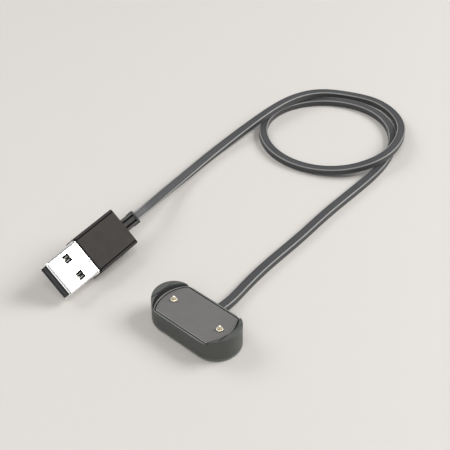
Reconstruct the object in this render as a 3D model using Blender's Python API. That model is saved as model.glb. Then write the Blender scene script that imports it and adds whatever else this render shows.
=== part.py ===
"""Magnetic charging cable for a fitness tracker.

A small stadium-shaped charging dock lies flat on a table. Two sprung pins stand in its
face plate. A flat cable leaves the middle of one long side, makes one and a half turns and
ends in a USB-A plug, which the cable's twist holds rolled onto its lower long edge.

Frame: the origin is the centre of the dock's underside, +X runs along the dock's long
axis, +Y points out of the cable exit and +Z is up. All lengths are in metres.
"""

import math

import bmesh
import bpy
import numpy as np

# ---- Dock ------------------------------------------------------------------------------
DOCK_LENGTH = 0.0310
DOCK_WIDTH = 0.0151
DOCK_RIM_Z = 0.0066            # top of the long sides and of the face plate
DOCK_TOP_Z = 0.0085            # top of the two end crescents, at the dock's ends
DOCK_WALL = 0.0014
DOCK_FOOT_RADIUS = 0.00075     # rounding of the lower outer edge
DECK_UNDERSIDE_Z = 0.0044
GAP = 0.0003                   # clearance between pieces that touch on the real object

FACE_ARC = (0.0010, 0.0117)    # centre and radius of the arc at each end of the pocket
FACE_HALF_WIDTH = 0.0070
CRESCENT_ARC = (0.0031, 0.0102)    # the same for the crescents' inner walls
FACE_THICKNESS = 0.0009
FACE_EDGE_BEVEL = 0.00015
# (x, z) along the top of a crescent, which falls from the dock's end to its tips
CREST_PROFILE = (
    (0.0100, 0.00664), (0.0104, 0.00703), (0.0110, 0.00741), (0.0120, 0.00777),
    (0.0130, 0.00803), (0.0141, 0.00826), (0.0152, 0.00850), (0.0165, 0.00870),
)

COVER_THICKNESS = 0.0009
BOARD_BOTTOM_Z = COVER_THICKNESS + GAP
BOARD_THICKNESS = 0.0008
BOARD_TOP_Z = BOARD_BOTTOM_Z + BOARD_THICKNESS
INNER_FLOOR_Z = BOARD_TOP_Z + GAP     # where pieces that stand on the board begin

MAGNET_SIZE = (0.0046, 0.0080, 0.0018)
MAGNET_X = 0.0054
FUSE_SIZE = (0.0016, 0.0032, 0.0008)
FUSE_Y = -0.0025

# ---- Sprung contact pins ---------------------------------------------------------------
PIN_X = 0.0092
BARREL_RADIUS = 0.00105
BARREL_BORE = 0.00085
BARREL_MOUTH = 0.00062
BARREL_TOP_Z = 0.0069
BARREL_LIP = 0.0004
BARREL_FLOOR = 0.0003
BARREL_CLEARANCE = 0.00015
SHOULDER_RADIUS = 0.00072
SHOULDER_LENGTH = 0.0016
TIP_RADIUS = 0.00048
TIP_TOP_Z = 0.00805
STOP_CLEARANCE = 0.00015
SPRING_RADIUS = 0.00058
SPRING_WIRE_RADIUS = 0.00008
SPRING_TURNS = 4.5

# ---- Cable -----------------------------------------------------------------------------
CABLE_DIAMETER = 0.0023
CABLE_EXIT_Z = 0.0019
CABLE_POINTS = 77
GLAND_WIDTH = 0.0036
GLAND_HEIGHT = 0.0026
GLAND_INNER_Y = 0.0062
GLAND_OUTER_Y = 0.0082
LEAD_RADIUS = 0.00035

CABLE_ROUTE = (
    (0.0000, 0.0085, 0.0019), (-0.0001, 0.0115, 0.0017), (-0.0006, 0.0160, 0.0014),
    (-0.0019, 0.0230, 0.0012), (-0.0032, 0.0320, 0.0012), (-0.0041, 0.0420, 0.0012),
    (-0.0050, 0.0535, 0.0012), (-0.0065, 0.0675, 0.0012), (-0.0075, 0.0825, 0.0012),
    (-0.0085, 0.0955, 0.0012), (-0.0105, 0.1060, 0.0012), (-0.0145, 0.1155, 0.0012),
    (-0.0210, 0.1235, 0.0012), (-0.0300, 0.1280, 0.0012), (-0.0395, 0.1280, 0.0012),
    (-0.0485, 0.1240, 0.0012), (-0.0555, 0.1165, 0.0012), (-0.0590, 0.1070, 0.0012),
    (-0.0580, 0.0970, 0.0012), (-0.0525, 0.0890, 0.0012), (-0.0445, 0.0840, 0.0012),
    (-0.0350, 0.0825, 0.0012), (-0.0250, 0.0850, 0.0014), (-0.0160, 0.0910, 0.0026),
    (-0.0110, 0.0995, 0.0038), (-0.0105, 0.1090, 0.0040), (-0.0135, 0.1185, 0.0036),
    (-0.0190, 0.1265, 0.0024), (-0.0270, 0.1325, 0.0014), (-0.0365, 0.1345, 0.0012),
    (-0.0460, 0.1310, 0.0016), (-0.0530, 0.1240, 0.0030), (-0.0570, 0.1150, 0.0039),
    (-0.0585, 0.1050, 0.0040), (-0.0585, 0.0950, 0.0037), (-0.0585, 0.0850, 0.0028),
    (-0.0582, 0.0746, 0.0019), (-0.0572, 0.0646, 0.00165), (-0.0557, 0.0552, 0.0018),
    (-0.0537, 0.0462, 0.0026), (-0.0514, 0.0383, 0.0040), (-0.0486, 0.0295, 0.0057),
    (-0.0467, 0.0230, 0.0067), (-0.0461, 0.0189, 0.0067),
)

# ---- Plug, in its own frame: +Y runs from the tip to the cable, +X across, +Z out of the
# face that shows. The frame is rolled about its own length and turned about the vertical.
PLUG_TIP = (-0.0405, -0.0188)
PLUG_ROLL = math.radians(40.0)
PLUG_TURN = math.radians(8.4)
FLOOR_CLEARANCE = 0.00005

SHELL_WIDTH = 0.0120
SHELL_HEIGHT = 0.0045
SHELL_WALL = 0.0003
SHELL_CORNER = 0.0007
SHELL_LENGTH = 0.0172
SHELL_FLANGE = (0.0128, 0.0053)    # the folded edge that meets the grip
SHELL_FLANGE_LENGTH = 0.0004
WINDOW_SIZE = 0.0025
WINDOW_X = 0.0032
WINDOW_Y = 0.00705

TONGUE_WIDTH = 0.0110
TONGUE_THICKNESS = 0.0017
TONGUE_START_Y = 0.0006
TONGUE_LENGTH = 0.0162
CONTACT_WIDTH = 0.0008
CONTACT_THICKNESS = 0.0002
CONTACT_LIFT = 0.00015
CONTACT_END_Y = 0.0165
# name, centre across the tongue, front end
CONTACTS = (
    ("usb_contact_1", 0.0035, 0.0014),
    ("usb_contact_2", 0.0010, 0.0024),
    ("usb_contact_3", -0.0010, 0.0024),
    ("usb_contact_4", -0.0035, 0.0014),
)

GRIP_WIDTH = 0.0135
GRIP_THICKNESS = 0.0067
GRIP_START_Y = 0.0132
GRIP_END_Y = 0.0308
GRIP_EDGE_RADIUS = 0.0006
GRIP_POCKET_DEPTH = 0.0044
CAVITY_WIDTH = 0.0114
CAVITY_HEIGHT = 0.0043
CAVITY_END_Y = 0.0279

INNER_MOULD_SIZE = (0.0108, 0.0040, 0.0037)
INNER_MOULD_START_Y = 0.0179
CLAMP_OUTER = (0.0046, 0.0036)
CLAMP_INNER = (0.0032, 0.0022)
CLAMP_START_Y = 0.0244
CLAMP_LENGTH = 0.0020

RELIEF_WIDTH = 0.0042
RELIEF_HEIGHT = 0.0033
RELIEF_FLANGE = (0.0058, 0.0037)
RELIEF_FLANGE_Y = 0.0268
RELIEF_FLANGE_LENGTH = 0.0008
RELIEF_END_Y = 0.0378
RELIEF_LIP = 0.0002
RELIEF_LIP_LENGTH = 0.0008

ARC_STEPS = 24


# ---- Scene and materials ---------------------------------------------------------------
def clear_scene():
    for obj in list(bpy.data.objects):
        bpy.data.objects.remove(obj, do_unlink=True)


def make_material(name, colour, roughness, metallic=0.0):
    material = bpy.data.materials.new(name)
    material.use_nodes = True
    shader = material.node_tree.nodes["Principled BSDF"]
    shader.inputs["Base Color"].default_value = (*colour, 1.0)
    shader.inputs["Roughness"].default_value = roughness
    shader.inputs["Metallic"].default_value = metallic
    return material


def add_object(name, bm, material, parent=None, smooth_angle=None):
    bmesh.ops.recalc_face_normals(bm, faces=bm.faces)
    mesh = bpy.data.meshes.new(name)
    bm.to_mesh(mesh)
    bm.free()
    obj = bpy.data.objects.new(name, mesh)
    bpy.context.collection.objects.link(obj)
    obj.parent = parent
    if material is not None:
        mesh.materials.append(material)
    if smooth_angle is not None:
        mesh.shade_smooth()
        mesh.set_sharp_from_angle(angle=smooth_angle)
    return obj


def add_bevel(obj, width, segments, angle=math.radians(40)):
    bevel = obj.modifiers.new("edge_rounding", "BEVEL")
    bevel.width = width
    bevel.segments = segments
    bevel.limit_method = "ANGLE"
    bevel.angle_limit = angle
    return bevel


def cut(target, cutter):
    cutter.hide_render = True
    cutter.display_type = "WIRE"
    boolean = target.modifiers.new("cut_" + cutter.name, "BOOLEAN")
    boolean.operation = "DIFFERENCE"
    boolean.solver = "EXACT"
    boolean.object = cutter


# ---- Outlines, each a list of (x, y) points running anticlockwise -----------------------
def arc(centre, radius, start, end, steps):
    angles = [start + (end - start) * i / steps for i in range(steps + 1)]
    return [(centre[0] + radius * math.cos(a), centre[1] + radius * math.sin(a)) for a in angles]


def stadium(length, width):
    radius = width / 2
    offset = length / 2 - radius
    right = arc((offset, 0), radius, -math.pi / 2, math.pi / 2, ARC_STEPS)
    left = arc((-offset, 0), radius, math.pi / 2, 3 * math.pi / 2, ARC_STEPS)
    return right + left


def two_arcs(centre_x, radius, half_width):
    """An arc at each end, joined by straight lines at y = +half_width and y = -half_width."""
    reach = math.asin(half_width / radius)
    right = arc((centre_x, 0), radius, -reach, reach, ARC_STEPS)
    return right + [(-x, -y) for x, y in right]


def rounded_rectangle(width, height, radius, steps=4):
    outline = []
    for quarter, (sx, sy) in enumerate(((1, -1), (1, 1), (-1, 1), (-1, -1))):
        centre = (sx * (width / 2 - radius), sy * (height / 2 - radius))
        start = (quarter - 1) * math.pi / 2
        outline += arc(centre, radius, start, start + math.pi / 2, steps)
    return outline


# ---- Solids ----------------------------------------------------------------------------
def prism_mesh(outline, low, high):
    """An outline in X and Y, extruded along Z."""
    bm = bmesh.new()
    base = bm.faces.new([bm.verts.new((x, y, low)) for x, y in outline])
    grown = bmesh.ops.extrude_face_region(bm, geom=[base])
    for item in grown["geom"]:
        if isinstance(item, bmesh.types.BMVert):
            item.co.z = high
    return bm


def lengthwise_mesh(outline, start, end):
    """An outline in X and Z, extruded along Y: the plug's own direction."""
    bm = prism_mesh(outline, start, end)
    for vert in bm.verts:
        x, z, y = vert.co
        vert.co = (x, y, z)
    return bm


def stepped_mesh(sections, corner):
    """Rounded rectangles, each given as (y, width, height), joined one after the other."""
    bm = bmesh.new()
    rings = []
    for y, width, height in sections:
        outline = rounded_rectangle(width, height, corner)
        rings.append([bm.verts.new((x, y, z)) for x, z in outline])
    for first, second in zip(rings, rings[1:]):
        count = len(first)
        for i in range(count):
            j = (i + 1) % count
            bm.faces.new((first[i], first[j], second[j], second[i]))
    bm.faces.new(rings[0])
    bm.faces.new(rings[-1])
    return bm


def block_mesh(size, centre):
    bm = bmesh.new()
    bmesh.ops.create_cube(bm, size=1.0)
    bmesh.ops.scale(bm, vec=size, verts=bm.verts)
    bmesh.ops.translate(bm, vec=centre, verts=bm.verts)
    return bm


def turned_mesh(profile, steps=24):
    """A profile of (radius, z) points turned about the Z axis."""
    bm = bmesh.new()
    verts = [bm.verts.new((radius, 0, z)) for radius, z in profile]
    edges = [bm.edges.new(pair) for pair in zip(verts, verts[1:])]
    if profile[0][0] > 0:
        edges.append(bm.edges.new((verts[-1], verts[0])))
    bmesh.ops.spin(bm, geom=verts + edges, cent=(0, 0, 0), axis=(0, 0, 1),
                   angle=2 * math.pi, steps=steps, use_merge=True)
    bmesh.ops.remove_doubles(bm, verts=bm.verts, dist=1e-7)
    return bm


def add_tube(name, points, radius, material, parent=None):
    curve = bpy.data.curves.new(name, "CURVE")
    curve.dimensions = "3D"
    curve.bevel_depth = radius
    curve.bevel_resolution = 2
    curve.use_fill_caps = True
    spline = curve.splines.new("POLY")
    spline.points.add(len(points) - 1)
    for point, place in zip(spline.points, points):
        point.co = (*place, 1.0)
    curve.materials.append(material)
    obj = bpy.data.objects.new(name, curve)
    bpy.context.collection.objects.link(obj)
    obj.parent = parent
    return obj


def smooth_curve(route, count):
    """Evenly spaced points on the natural cubic spline through the route's points."""
    points = np.array(route)
    steps = np.sqrt(np.linalg.norm(np.diff(points, axis=0), axis=1))
    knots = np.concatenate(([0.0], np.cumsum(steps)))
    system = np.eye(len(points))
    right = np.zeros_like(points)
    for i in range(1, len(points) - 1):
        before, after = steps[i - 1], steps[i]
        system[i, i - 1:i + 2] = before, 2 * (before + after), after
        right[i] = 6 * ((points[i + 1] - points[i]) / after - (points[i] - points[i - 1]) / before)
    bend = np.linalg.solve(system, right)

    def at(t):
        i = min(int(np.searchsorted(knots, t, side="right")) - 1, len(steps) - 1)
        h, a, b = steps[i], knots[i + 1] - t, t - knots[i]
        return ((bend[i] * a ** 3 + bend[i + 1] * b ** 3) / (6 * h)
                + (points[i] / h - bend[i] * h / 6) * a
                + (points[i + 1] / h - bend[i + 1] * h / 6) * b)

    fine = np.array([at(t) for t in np.linspace(0, knots[-1], 40 * len(points))])
    travel = np.concatenate(([0.0], np.cumsum(np.linalg.norm(np.diff(fine, axis=0), axis=1))))
    wanted = np.linspace(0, travel[-1], count)
    return np.column_stack([np.interp(wanted, travel, fine[:, k]) for k in range(3)])


# ---- Dock ------------------------------------------------------------------------------
def add_dock_housing(plastic):
    bm = prism_mesh(stadium(DOCK_LENGTH, DOCK_WIDTH), 0, DOCK_TOP_Z)
    foot = [e for e in bm.edges if all(v.co.z < DOCK_FOOT_RADIUS for v in e.verts)]
    bmesh.ops.bevel(bm, geom=foot, offset=DOCK_FOOT_RADIUS, segments=3, profile=0.5,
                    affect="EDGES")
    housing = add_object("dock_housing", bm, plastic, smooth_angle=math.radians(35))

    above = 2 * DOCK_TOP_Z
    overrun = DOCK_WIDTH / 2 + DOCK_WALL
    recess = prism_mesh(two_arcs(*CRESCENT_ARC, overrun), DOCK_RIM_Z, above)
    cut(housing, add_object("recess_cutter", recess, None))
    crests = [(-x, z) for x, z in reversed(CREST_PROFILE)] + list(CREST_PROFILE)
    crests += [(CREST_PROFILE[-1][0], above), (-CREST_PROFILE[-1][0], above)]
    cut(housing, add_object("crest_cutter", lengthwise_mesh(crests, -overrun, overrun), None))
    pocket_floor = DOCK_RIM_Z - FACE_THICKNESS - GAP
    pocket = prism_mesh(two_arcs(*FACE_ARC, FACE_HALF_WIDTH), pocket_floor, above)
    cut(housing, add_object("pocket_cutter", pocket, None))
    inside = stadium(DOCK_LENGTH - 2 * DOCK_WALL, DOCK_WIDTH - 2 * DOCK_WALL)
    hollow = prism_mesh(inside, -DOCK_WALL, DECK_UNDERSIDE_Z)
    cut(housing, add_object("hollow_cutter", hollow, None))
    for side, sign in (("left", -1), ("right", 1)):
        radius = BARREL_RADIUS + BARREL_CLEARANCE
        hole = prism_mesh(arc((sign * PIN_X, 0), radius, 0, 2 * math.pi, ARC_STEPS)[:-1],
                          DECK_UNDERSIDE_Z - DOCK_WALL, DOCK_TOP_Z)
        cut(housing, add_object("pin_hole_cutter_" + side, hole, None))
    outlet_outline = rounded_rectangle(GLAND_WIDTH + 2 * GAP, GLAND_HEIGHT + 2 * GAP, 0.0009)
    outlet = lengthwise_mesh(outlet_outline, DOCK_WIDTH / 2 - 1.2 * DOCK_WALL, DOCK_WIDTH)
    bmesh.ops.translate(outlet, vec=(0, 0, CABLE_EXIT_Z), verts=outlet.verts)
    cut(housing, add_object("outlet_cutter", outlet, None))
    return housing


def add_face_plate(plastic):
    centre_x, radius = FACE_ARC
    outline = two_arcs(centre_x, radius - GAP, FACE_HALF_WIDTH - GAP)
    bm = prism_mesh(outline, DOCK_RIM_Z - FACE_THICKNESS, DOCK_RIM_Z)
    plate = add_object("dock_face_plate", bm, plastic)
    add_bevel(plate, FACE_EDGE_BEVEL, 1, math.radians(60))
    for side, sign in (("left", -1), ("right", 1)):
        radius = BARREL_RADIUS + BARREL_CLEARANCE
        hole = prism_mesh(arc((sign * PIN_X, 0), radius, 0, 2 * math.pi, ARC_STEPS)[:-1],
                          0, DOCK_TOP_Z)
        cut(plate, add_object("collar_hole_cutter_" + side, hole, None))


def add_base_cover(plastic):
    margin = DOCK_WALL + GAP
    outline = stadium(DOCK_LENGTH - 2 * margin, DOCK_WIDTH - 2 * margin)
    add_object("dock_base_cover", prism_mesh(outline, 0, COVER_THICKNESS), plastic)


def add_board(laminate, part_body):
    margin = DOCK_WALL + 1.5 * GAP
    outline = stadium(DOCK_LENGTH - 2 * margin, DOCK_WIDTH - 2 * margin)
    add_object("circuit_board", prism_mesh(outline, BOARD_BOTTOM_Z, BOARD_TOP_Z), laminate)
    fuse = block_mesh(FUSE_SIZE, (0, FUSE_Y, INNER_FLOOR_Z + FUSE_SIZE[2] / 2))
    add_object("board_fuse", fuse, part_body)


def add_magnets(metal):
    for side, sign in (("left", -1), ("right", 1)):
        centre = (sign * MAGNET_X, 0, INNER_FLOOR_Z + MAGNET_SIZE[2] / 2)
        magnet = add_object("magnet_" + side, block_mesh(MAGNET_SIZE, centre), metal)
        add_bevel(magnet, 0.0002, 1)


def add_pin(side, x, brass, steel):
    """A barrel fixed in the deck, a spring on its floor and the plunger it pushes up."""
    round_angle = math.radians(40)
    bore_floor = INNER_FLOOR_Z + BARREL_FLOOR
    lip_z = BARREL_TOP_Z - BARREL_LIP
    barrel_profile = [
        (0, INNER_FLOOR_Z), (BARREL_RADIUS, INNER_FLOOR_Z), (BARREL_RADIUS, BARREL_TOP_Z),
        (BARREL_MOUTH, BARREL_TOP_Z), (BARREL_MOUTH, lip_z), (BARREL_BORE, lip_z),
        (BARREL_BORE, bore_floor), (0, bore_floor),
    ]
    barrel = add_object("pogo_barrel_" + side, turned_mesh(barrel_profile), brass,
                        smooth_angle=round_angle)

    shoulder_top = lip_z - STOP_CLEARANCE
    shoulder_bottom = shoulder_top - SHOULDER_LENGTH
    dome_centre = TIP_TOP_Z - TIP_RADIUS
    plunger_profile = [
        (0, shoulder_bottom), (SHOULDER_RADIUS, shoulder_bottom), (SHOULDER_RADIUS, shoulder_top),
        (TIP_RADIUS, shoulder_top),
    ]
    plunger_profile += arc((0, dome_centre), TIP_RADIUS, 0, math.pi / 2, 6)[:-1]
    plunger_profile.append((0, TIP_TOP_Z))
    plunger = add_object("pogo_plunger_" + side, turned_mesh(plunger_profile), brass,
                         smooth_angle=round_angle)

    low = bore_floor + GAP / 2 + SPRING_WIRE_RADIUS
    high = shoulder_bottom - GAP / 2 - SPRING_WIRE_RADIUS
    count = int(SPRING_TURNS * 12) + 1
    turns = []
    for i in range(count):
        share = i / (count - 1)
        angle = 2 * math.pi * SPRING_TURNS * share
        turns.append((SPRING_RADIUS * math.cos(angle), SPRING_RADIUS * math.sin(angle),
                      low + (high - low) * share))
    spring = add_tube("pogo_spring_" + side, turns, SPRING_WIRE_RADIUS, steel)
    spring.data.bevel_resolution = 1

    for piece in (barrel, plunger, spring):
        piece.location.x = x


def add_gland(rubber):
    bm = lengthwise_mesh(rounded_rectangle(GLAND_WIDTH, GLAND_HEIGHT, 0.0007),
                         GLAND_INNER_Y, GLAND_OUTER_Y)
    gland = add_object("dock_cable_gland", bm, rubber, smooth_angle=math.radians(35))
    gland.location.z = CABLE_EXIT_Z


def add_dock_leads(red, black):
    rest_z = INNER_FLOOR_Z + LEAD_RADIUS
    for name, sign, colour in (("dock_lead_positive", 1, red), ("dock_lead_negative", -1, black)):
        route = (
            (sign * 0.0007, GLAND_INNER_Y - GAP, rest_z + 0.0001),
            (sign * 0.0007, 0.0050, rest_z + 0.0002),
            (sign * 0.0009, 0.0041, rest_z + 0.0001),
            (sign * 0.0011, 0.0032, rest_z),
            (sign * 0.0011, 0.0022, rest_z),
        )
        add_tube(name, smooth_curve(route, 9), LEAD_RADIUS, colour)


# ---- Plug ------------------------------------------------------------------------------
def add_plug_frame():
    lean = math.sin(PLUG_ROLL) * (GRIP_WIDTH / 2 - GRIP_EDGE_RADIUS)
    rise = math.cos(PLUG_ROLL) * (GRIP_THICKNESS / 2 - GRIP_EDGE_RADIUS)
    frame = bpy.data.objects.new("plug_frame", None)
    bpy.context.collection.objects.link(frame)
    frame.location = (*PLUG_TIP, lean + rise + GRIP_EDGE_RADIUS + FLOOR_CLEARANCE)
    frame.rotation_euler = (0, PLUG_ROLL, PLUG_TURN)
    return frame


def add_usb_shell(frame, steel):
    flange_end = GRIP_START_Y - GAP
    flange_start = flange_end - SHELL_FLANGE_LENGTH
    body = (SHELL_WIDTH, SHELL_HEIGHT)
    sections = (
        (0, *body), (flange_start, *body),
        (flange_start, *SHELL_FLANGE), (flange_end, *SHELL_FLANGE),
        (flange_end, *body), (SHELL_LENGTH, *body),
    )
    shell = add_object("usb_shell", stepped_mesh(sections, SHELL_CORNER), steel, frame,
                       smooth_angle=math.radians(35))
    inside = rounded_rectangle(SHELL_WIDTH - 2 * SHELL_WALL, SHELL_HEIGHT - 2 * SHELL_WALL,
                               SHELL_CORNER - SHELL_WALL)
    bore = lengthwise_mesh(inside, -SHELL_LENGTH, 2 * SHELL_LENGTH)
    cut(shell, add_object("shell_bore_cutter", bore, None, frame))
    for side, sign in (("left", -1), ("right", 1)):
        size = (WINDOW_SIZE, WINDOW_SIZE, 2 * SHELL_HEIGHT)
        window = block_mesh(size, (sign * WINDOW_X, WINDOW_Y, 0))
        cut(shell, add_object("window_cutter_" + side, window, None, frame))


def add_tongue_and_contacts(frame, insulator, gold):
    inner_floor = -SHELL_HEIGHT / 2 + SHELL_WALL
    low = inner_floor + GAP / 2
    centre = (0, TONGUE_START_Y + TONGUE_LENGTH / 2, low + TONGUE_THICKNESS / 2)
    size = (TONGUE_WIDTH, TONGUE_LENGTH, TONGUE_THICKNESS)
    add_object("usb_tongue", block_mesh(size, centre), insulator, frame)
    contact_z = low + TONGUE_THICKNESS + CONTACT_LIFT + CONTACT_THICKNESS / 2
    for name, x, start in CONTACTS:
        size = (CONTACT_WIDTH, CONTACT_END_Y - start, CONTACT_THICKNESS)
        centre = (x, (start + CONTACT_END_Y) / 2, contact_z)
        add_object(name, block_mesh(size, centre), gold, frame)


def add_overmould(frame, plastic):
    length = GRIP_END_Y - GRIP_START_Y
    bm = block_mesh((GRIP_WIDTH, length, GRIP_THICKNESS), (0, GRIP_START_Y + length / 2, 0))
    bmesh.ops.bevel(bm, geom=list(bm.edges), offset=GRIP_EDGE_RADIUS, segments=3,
                    profile=0.5, affect="EDGES")
    grip = add_object("plug_overmould", bm, plastic, frame, smooth_angle=math.radians(35))

    mouth = rounded_rectangle(SHELL_WIDTH + 2 * GAP, SHELL_HEIGHT + 2 * GAP, SHELL_CORNER)
    pocket_end = GRIP_START_Y + GRIP_POCKET_DEPTH
    pocket = lengthwise_mesh(mouth, GRIP_START_Y - GRIP_POCKET_DEPTH, pocket_end)
    cut(grip, add_object("grip_pocket_cutter", pocket, None, frame))
    room = rounded_rectangle(CAVITY_WIDTH, CAVITY_HEIGHT, 0.0005)
    cavity = lengthwise_mesh(room, GRIP_START_Y, CAVITY_END_Y)
    cut(grip, add_object("grip_cavity_cutter", cavity, None, frame))
    outlet_outline = rounded_rectangle(RELIEF_WIDTH + 2 * GAP, RELIEF_HEIGHT + 2 * GAP, 0.0010)
    outlet = lengthwise_mesh(outlet_outline, pocket_end, 2 * GRIP_END_Y)
    cut(grip, add_object("grip_outlet_cutter", outlet, None, frame))


def add_plug_insides(frame, insulator, steel, red, black):
    width, length, height = INNER_MOULD_SIZE
    centre = (0, INNER_MOULD_START_Y + length / 2, 0)
    mould = add_object("plug_inner_mould", block_mesh(INNER_MOULD_SIZE, centre), insulator, frame)
    add_bevel(mould, 0.0004, 1)

    clamp_end = CLAMP_START_Y + CLAMP_LENGTH
    ring = lengthwise_mesh(rounded_rectangle(*CLAMP_OUTER, 0.0012), CLAMP_START_Y, clamp_end)
    clamp = add_object("plug_cable_clamp", ring, steel, frame, smooth_angle=math.radians(35))
    hole = lengthwise_mesh(rounded_rectangle(*CLAMP_INNER, 0.0007), 0, GRIP_END_Y)
    cut(clamp, add_object("clamp_hole_cutter", hole, None, frame))

    mould_end = INNER_MOULD_START_Y + length
    for name, sign, colour in (("plug_lead_positive", 1, red), ("plug_lead_negative", -1, black)):
        route = (
            (sign * 0.0007, RELIEF_FLANGE_Y - GAP, 0),
            (sign * 0.0007, CLAMP_START_Y + CLAMP_LENGTH / 2, 0),
            (sign * 0.0008, CLAMP_START_Y - GAP, 0),
            (sign * 0.0014, mould_end + 4 * GAP, 0),
            (sign * 0.0018, mould_end + GAP, 0),
        )
        add_tube(name, smooth_curve(route, 9), LEAD_RADIUS, colour, frame)


def add_strain_relief(frame, rubber):
    """A block with a flange inside the grip and a small lip where the cable leaves it."""
    flange_end = RELIEF_FLANGE_Y + RELIEF_FLANGE_LENGTH
    lip_start = RELIEF_END_Y - RELIEF_LIP_LENGTH
    sections = (
        (RELIEF_FLANGE_Y, *RELIEF_FLANGE), (flange_end, *RELIEF_FLANGE),
        (flange_end, RELIEF_WIDTH, RELIEF_HEIGHT), (lip_start, RELIEF_WIDTH, RELIEF_HEIGHT),
        (lip_start, RELIEF_WIDTH + 2 * RELIEF_LIP, RELIEF_HEIGHT + 2 * RELIEF_LIP),
        (RELIEF_END_Y, RELIEF_WIDTH + 2 * RELIEF_LIP, RELIEF_HEIGHT + 2 * RELIEF_LIP),
    )
    bm = stepped_mesh(sections, corner=0.0008)
    add_object("plug_strain_relief", bm, rubber, frame, smooth_angle=math.radians(35))


# ---- Assembly --------------------------------------------------------------------------
def main():
    clear_scene()
    dock_plastic = make_material("dock_plastic", (0.070, 0.074, 0.070), 0.45)
    face_plastic = make_material("face_plastic", (0.150, 0.150, 0.145), 0.55)
    plug_plastic = make_material("plug_plastic", (0.050, 0.048, 0.045), 0.55)
    jacket = make_material("cable_jacket", (0.055, 0.055, 0.058), 0.50)
    insulator = make_material("insulator", (0.035, 0.035, 0.037), 0.60)
    laminate = make_material("board_laminate", (0.020, 0.120, 0.050), 0.45)
    usb_steel = make_material("usb_steel", (0.800, 0.800, 0.800), 0.22, 1.0)
    magnet_metal = make_material("magnet_metal", (0.600, 0.600, 0.620), 0.25, 1.0)
    spring_steel = make_material("spring_steel", (0.550, 0.550, 0.560), 0.30, 1.0)
    brass = make_material("contact_gold", (0.830, 0.620, 0.300), 0.22, 1.0)
    red = make_material("lead_red", (0.450, 0.020, 0.020), 0.50)
    black = make_material("lead_black", (0.020, 0.020, 0.020), 0.50)

    add_dock_housing(dock_plastic)
    add_face_plate(face_plastic)
    add_base_cover(dock_plastic)
    add_board(laminate, insulator)
    add_magnets(magnet_metal)
    add_pin("left", -PIN_X, brass, spring_steel)
    add_pin("right", PIN_X, brass, spring_steel)
    add_gland(jacket)
    add_dock_leads(red, black)
    add_tube("charging_cable", smooth_curve(CABLE_ROUTE, CABLE_POINTS), CABLE_DIAMETER / 2, jacket)

    frame = add_plug_frame()
    add_usb_shell(frame, usb_steel)
    add_tongue_and_contacts(frame, insulator, brass)
    add_overmould(frame, plug_plastic)
    add_plug_insides(frame, insulator, usb_steel, red, black)
    add_strain_relief(frame, jacket)


main()
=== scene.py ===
"""Looks of the charging cable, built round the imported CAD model. All lengths are in metres.

The dock's frame is the model's own: X along the dock, Y out of the cable's exit, Z up. The
plug has a frame of its own, with Y from its tip to the cable and Z out of the face that shows.
"""

import math

import bmesh
import bpy
import numpy as np
from mathutils import Matrix, Vector


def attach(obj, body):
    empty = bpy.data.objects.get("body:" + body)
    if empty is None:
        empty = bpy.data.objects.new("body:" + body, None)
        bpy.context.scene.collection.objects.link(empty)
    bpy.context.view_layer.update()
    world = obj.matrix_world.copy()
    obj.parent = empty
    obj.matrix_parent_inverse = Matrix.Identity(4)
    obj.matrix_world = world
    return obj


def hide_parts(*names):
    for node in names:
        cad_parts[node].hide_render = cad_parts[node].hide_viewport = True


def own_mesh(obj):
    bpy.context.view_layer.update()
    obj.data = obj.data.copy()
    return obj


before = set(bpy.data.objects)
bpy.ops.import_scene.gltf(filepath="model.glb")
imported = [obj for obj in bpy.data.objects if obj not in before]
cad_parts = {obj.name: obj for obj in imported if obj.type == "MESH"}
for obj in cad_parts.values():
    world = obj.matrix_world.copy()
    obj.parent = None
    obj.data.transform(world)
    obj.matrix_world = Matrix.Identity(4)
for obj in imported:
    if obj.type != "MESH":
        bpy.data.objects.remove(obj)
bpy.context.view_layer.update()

ROOT = "cable_assembly"
SMOOTH_ANGLE = math.radians(32)    # edges sharper than this stay sharp

# ---- Camera ----
CAMERA_PLACE = (0.1649, -0.1648, 0.2239)
CAMERA_TILT = math.radians(51.63)
CAMERA_TURN = math.radians(42.99)
CAMERA_LENS = 88.0

# ---- Dock: the CAD model's sizes, except where a comment says otherwise ----
DOCK_LENGTH = 0.0310
DOCK_WIDTH = 0.0151
RIM_Z = 0.0066
TOP_Z = 0.0085
FOOT_RADIUS = 0.00075
WALL = 0.0014
DECK_UNDERSIDE_Z = 0.0044
GAP = 0.0003
FACE_ARC = (0.0010, 0.0117)   # centre and radius of the arc at each end of the pocket
FACE_HALF_WIDTH = 0.0071      # 0.1 mm more than the CAD model's
CRESCENT_ARC = (0.0031, 0.0102)    # the same for the crescents' inner walls
FACE_CORNER = 0.0006
FACE_THICKNESS = 0.0009
FACE_GAP = 0.00036
CREST_TIP_X = 0.0102          # where the tops of the crescents meet the rim
EDGE_RADIUS = 0.00016         # rounding of the moulded edges, not in the CAD model
WALL_SHADE_BAND = 0.00032           # width of the band of painted shade along the crescents' inner edges
PIN_X = 0.0092
PIN_HOLE = 0.0012
GLAND_WIDTH = 0.0036
GLAND_HEIGHT = 0.0026
GLAND_INNER_Y = 0.0062

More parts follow.
